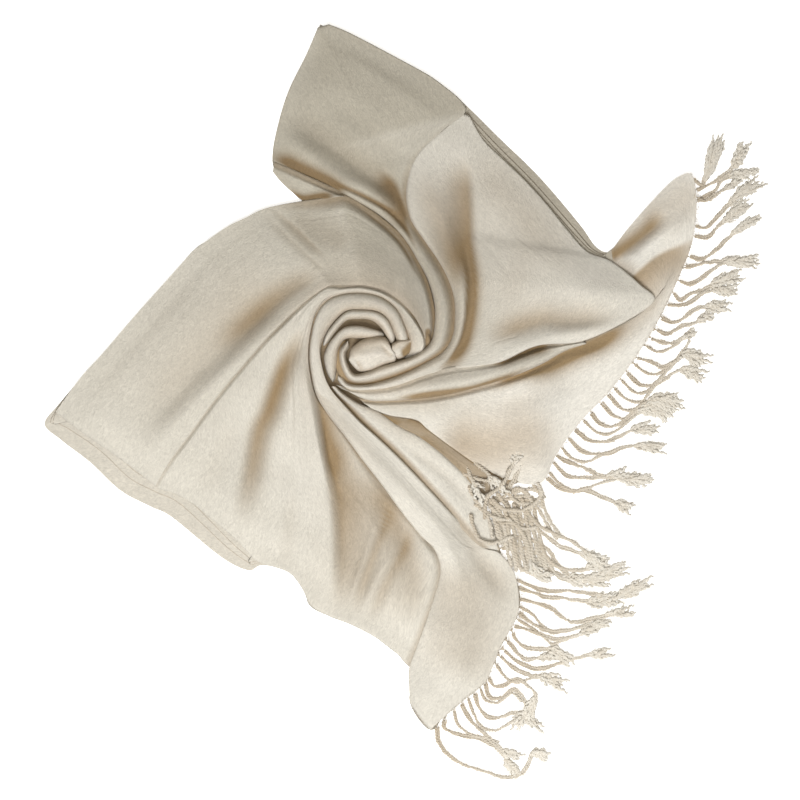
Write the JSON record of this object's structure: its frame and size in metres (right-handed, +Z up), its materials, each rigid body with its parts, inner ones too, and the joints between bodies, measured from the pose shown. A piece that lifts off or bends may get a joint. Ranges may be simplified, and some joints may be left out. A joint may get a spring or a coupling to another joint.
{
  "type": "stole",
  "caption": "Cream fringed stole laid flat, folded along its length and turned into a rosette of soft rolls, with its fringed ends spread to one side.",
  "frame": {"origin": "middle of the heap's footprint, on the surface that it lies on", "axes": "+Z up, away from the surface; +X towards the fringed ends; +Y towards the tip of the top panel"},
  "size_m": [0.7109, 0.7531, 0.0326],
  "materials": {
    "stole_cloth": "soft satin sheen with a fine grain",
    "fringe_cord": "twisted yarn with frayed ends"
  },
  "bodies": {
    "root": {"hidden_layers": "stole_cloth", "top_panel": "stole_cloth", "top_tuck": "stole_cloth", "right_panel": "stole_cloth", "upper_end": "stole_cloth", "lower_roll": "stole_cloth", "sunk_strip": "stole_cloth", "inner_roll": "stole_cloth", "lower_end": "stole_cloth", "fan_sunk": "stole_cloth", "fan_pleat": "stole_cloth", "fan_left": "stole_cloth", "left_panel": "stole_cloth", "left_lobe": "stole_cloth", "coil_outer": "stole_cloth", "coil_inner": "stole_cloth", "bud": "stole_cloth", "petal": "stole_cloth", "upper_fringe": "fringe_cord", "lower_fringe": "fringe_cord"}
  },
  "joints": []
}
